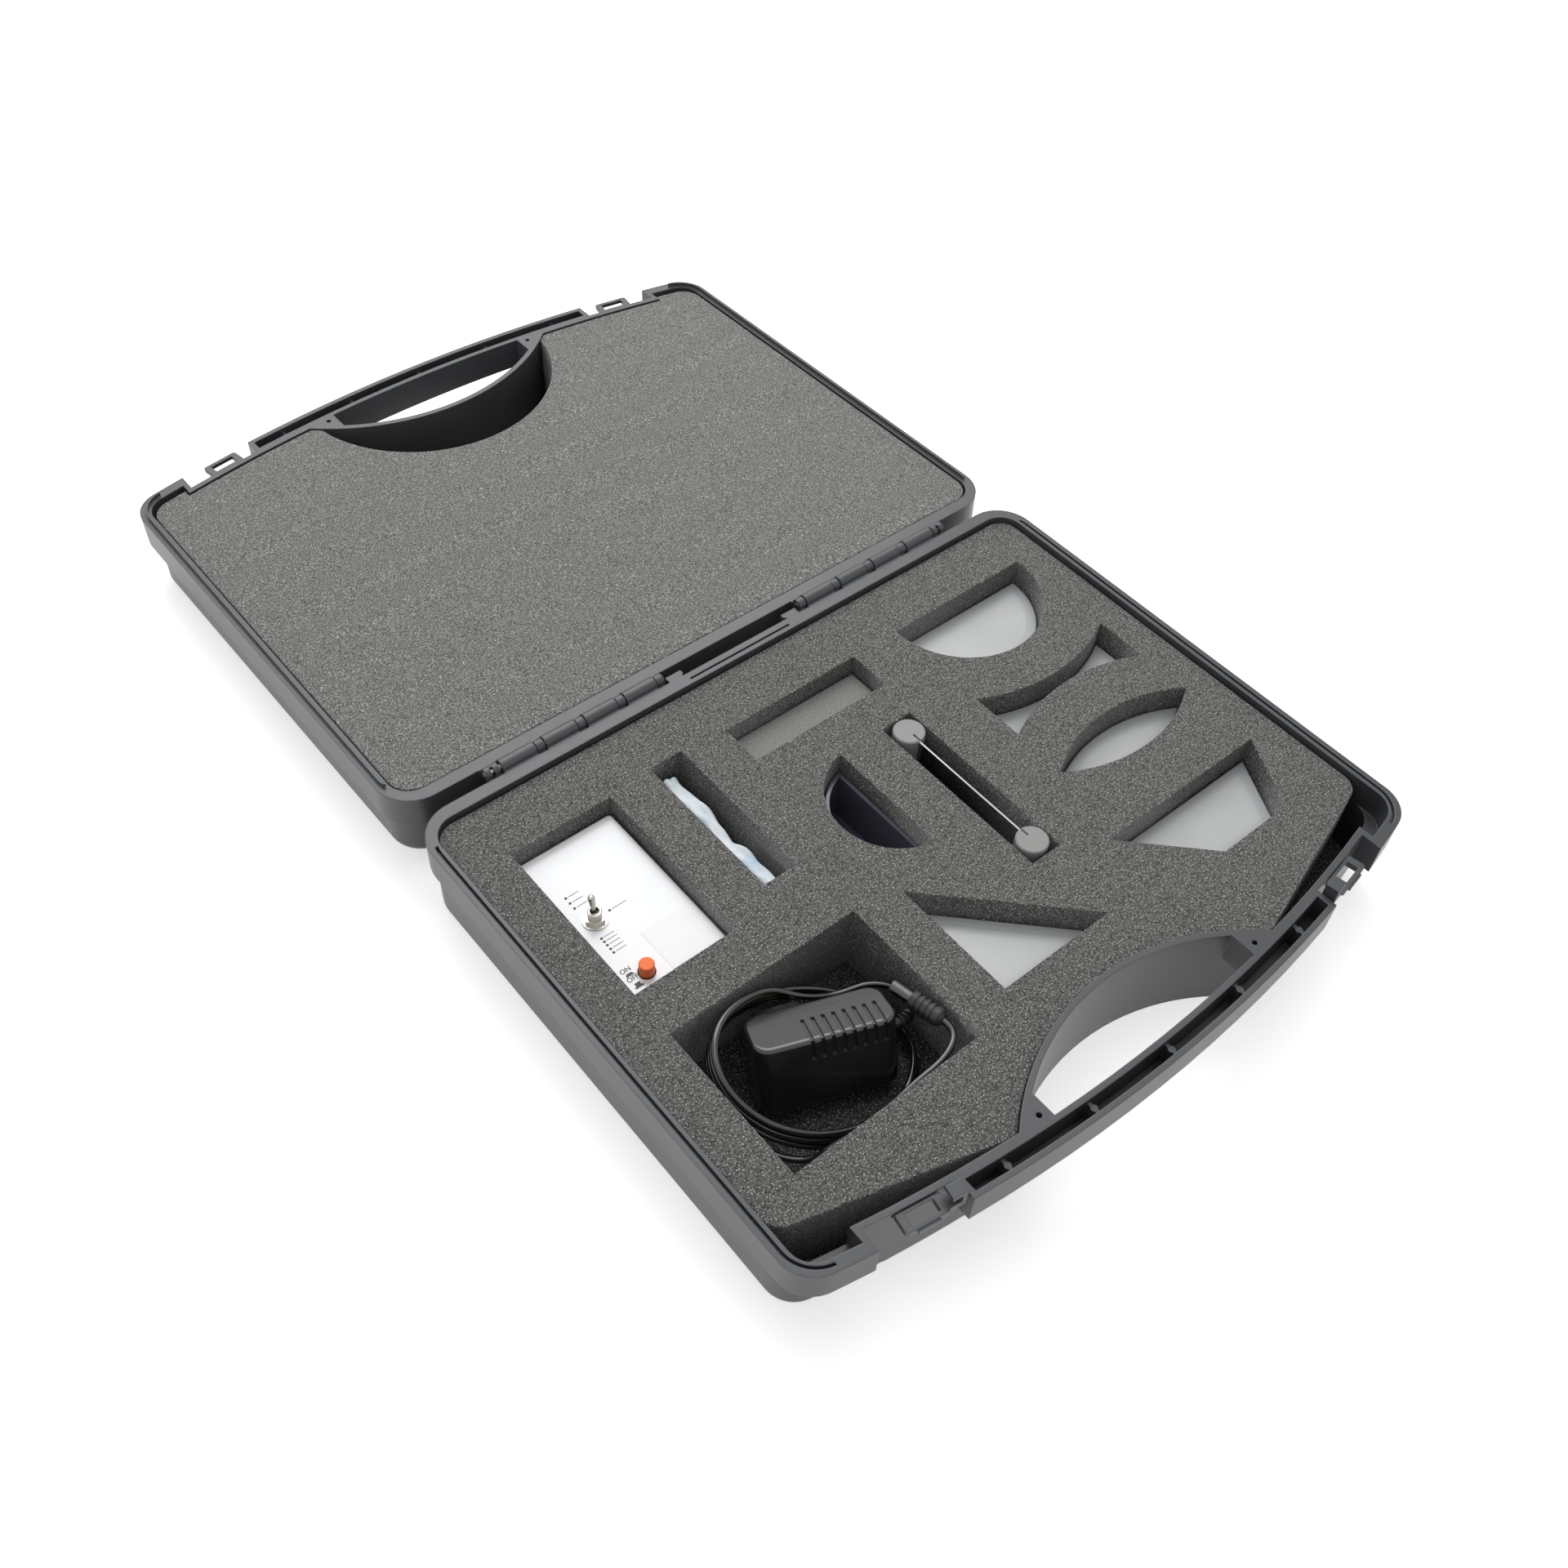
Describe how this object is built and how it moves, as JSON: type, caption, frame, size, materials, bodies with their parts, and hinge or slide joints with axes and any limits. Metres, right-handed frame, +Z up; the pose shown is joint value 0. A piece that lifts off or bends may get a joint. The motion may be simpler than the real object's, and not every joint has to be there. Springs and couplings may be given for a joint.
{
  "type": "optics ray box kit",
  "caption": "laser ray box kit in an open hinged carrying case with a handle: foam insert holding the box, its mains adapter and optics blocks",
  "frame": {"origin": "centre of the base tray's underside, with the case open on a level surface", "axes": "+Z up, +Y from the base's handle towards the open lid, +X along the hinge to the right seen from the handle side"},
  "size_m": [0.34, 0.5428, 0.0503],
  "materials": {
    "case_plastic": "moulded grey plastic, satin rims and finely grained faces",
    "pin_steel": "plain drawn wire",
    "foam": "dark grey open-cell foam, speckled",
    "acrylic": "polished clear acrylic",
    "smoked_plastic": "smooth dark moulded plastic",
    "mirror_metal": "thin bright flexible strip",
    "post_plastic": "grey turned plastic",
    "cloth_fabric": "soft pale blue cloth",
    "white_plastic": "satin white moulded plastic",
    "black_plastic": "plain black plastic",
    "adapter_plastic": "glossy black moulded plastic",
    "cord_rubber": "smooth black vinyl",
    "bright_metal": "nickel plated",
    "brass": "plain brass",
    "label_paper": "plain blank label",
    "board": "plain circuit board",
    "orange_plastic": "bright orange-red plastic"
  },
  "bodies": {
    "base": {"base_shell": "case_plastic", "hinge_pin_left": "pin_steel", "hinge_pin_right": "pin_steel", "base_foam_left_back": "foam", "base_foam_left_front": "foam", "base_foam_middle_back": "foam", "base_foam_middle_front": "foam", "base_foam_right_back": "foam", "base_foam_right_front": "foam", "base_foam_pad": "foam"},
    "lid": {"lid_shell": "case_plastic", "lid_foam": "foam"},
    "latch_left": {"latch_slider_left": "case_plastic"},
    "latch_right": {"latch_slider_right": "case_plastic"},
    "laser_box": {"box_cover": "white_plastic", "box_base_plate": "black_plastic", "box_screws": "bright_metal", "box_label": "label_paper", "circuit_board": "board", "toggle_body": "bright_metal", "toggle_washer": "bright_metal", "toggle_nut": "bright_metal", "power_switch_body": "black_plastic", "laser_emitters": "brass", "emitter_holder": "black_plastic", "beam_window": "acrylic", "dc_jack": "black_plastic"},
    "toggle": {"toggle_lever": "bright_metal"},
    "power_button": {"power_button_cap": "orange_plastic"},
    "adapter": {"adapter_front_shell": "adapter_plastic", "adapter_back_shell": "adapter_plastic", "plug_blades": "brass", "adapter_core": "board", "strain_relief": "black_plastic", "adapter_cord": "cord_rubber", "cord_plug_grip": "black_plastic", "cord_plug_barrel": "bright_metal"},
    "semicircle": {"semicircle_block": "acrylic"},
    "biconcave": {"biconcave_block": "acrylic"},
    "biconvex": {"biconvex_block": "acrylic"},
    "trapezoid": {"trapezoid_block": "acrylic"},
    "triangle": {"triangle_block": "acrylic"},
    "rectangle": {"rectangle_block": "acrylic"},
    "dish": {"water_dish": "smoked_plastic"},
    "mirror": {"mirror_posts": "post_plastic", "mirror_strip": "mirror_metal"},
    "cloth": {"cleaning_cloth": "cloth_fabric"}
  },
  "joints": [
    {"name": "lid_hinge", "type": "hinge", "parent": "base", "child": "lid", "pos_m": [0, 0.13775, 0.045], "axis": [-1, 0, 0], "range_deg": [-181.59, 0]},
    {"name": "latch_slide_right", "type": "slide", "parent": "base", "child": "latch_right", "axis": [0.986, 0.1667, 0], "range_m": [0, 0.0045]},
    {"name": "latch_slide_left", "type": "slide", "parent": "base", "child": "latch_left", "axis": [-0.986, 0.1667, 0], "range_m": [0, 0.0045]},
    {"name": "toggle_throw", "type": "hinge", "parent": "laser_box", "child": "toggle", "pos_m": [-0.133, 0.05655, 0.038], "axis": [1, 0, 0], "range_deg": [0, 24]},
    {"name": "power_button_press", "type": "slide", "parent": "laser_box", "child": "power_button", "axis": [0, 0, -1], "range_m": [0, 0.002], "stiffness_N_per_m": 300, "springref_m": -0.001},
    {"name": "laser_box_lift", "type": "slide", "parent": "base", "child": "laser_box", "axis": [0, 0, 1], "range_m": [0, 0.06]},
    {"name": "adapter_lift", "type": "slide", "parent": "base", "child": "adapter", "axis": [0, 0, 1], "range_m": [0, 0.06]},
    {"name": "semicircle_lift", "type": "slide", "parent": "base", "child": "semicircle", "axis": [0, 0, 1], "range_m": [0, 0.045]},
    {"name": "biconcave_lift", "type": "slide", "parent": "base", "child": "biconcave", "axis": [0, 0, 1], "range_m": [0, 0.045]},
    {"name": "biconvex_lift", "type": "slide", "parent": "base", "child": "biconvex", "axis": [0, 0, 1], "range_m": [0, 0.045]},
    {"name": "trapezoid_lift", "type": "slide", "parent": "base", "child": "trapezoid", "axis": [0, 0, 1], "range_m": [0, 0.045]},
    {"name": "triangle_lift", "type": "slide", "parent": "base", "child": "triangle", "axis": [0, 0, 1], "range_m": [0, 0.045]},
    {"name": "rectangle_lift", "type": "slide", "parent": "base", "child": "rectangle", "axis": [0, 0, 1], "range_m": [0, 0.045]},
    {"name": "dish_lift", "type": "slide", "parent": "base", "child": "dish", "axis": [0, 0, 1], "range_m": [0, 0.045]},
    {"name": "mirror_lift", "type": "slide", "parent": "base", "child": "mirror", "axis": [0, 0, 1], "range_m": [0, 0.05]},
    {"name": "cloth_lift", "type": "slide", "parent": "base", "child": "cloth", "axis": [0, 0, 1], "range_m": [0, 0.045]}
  ]
}
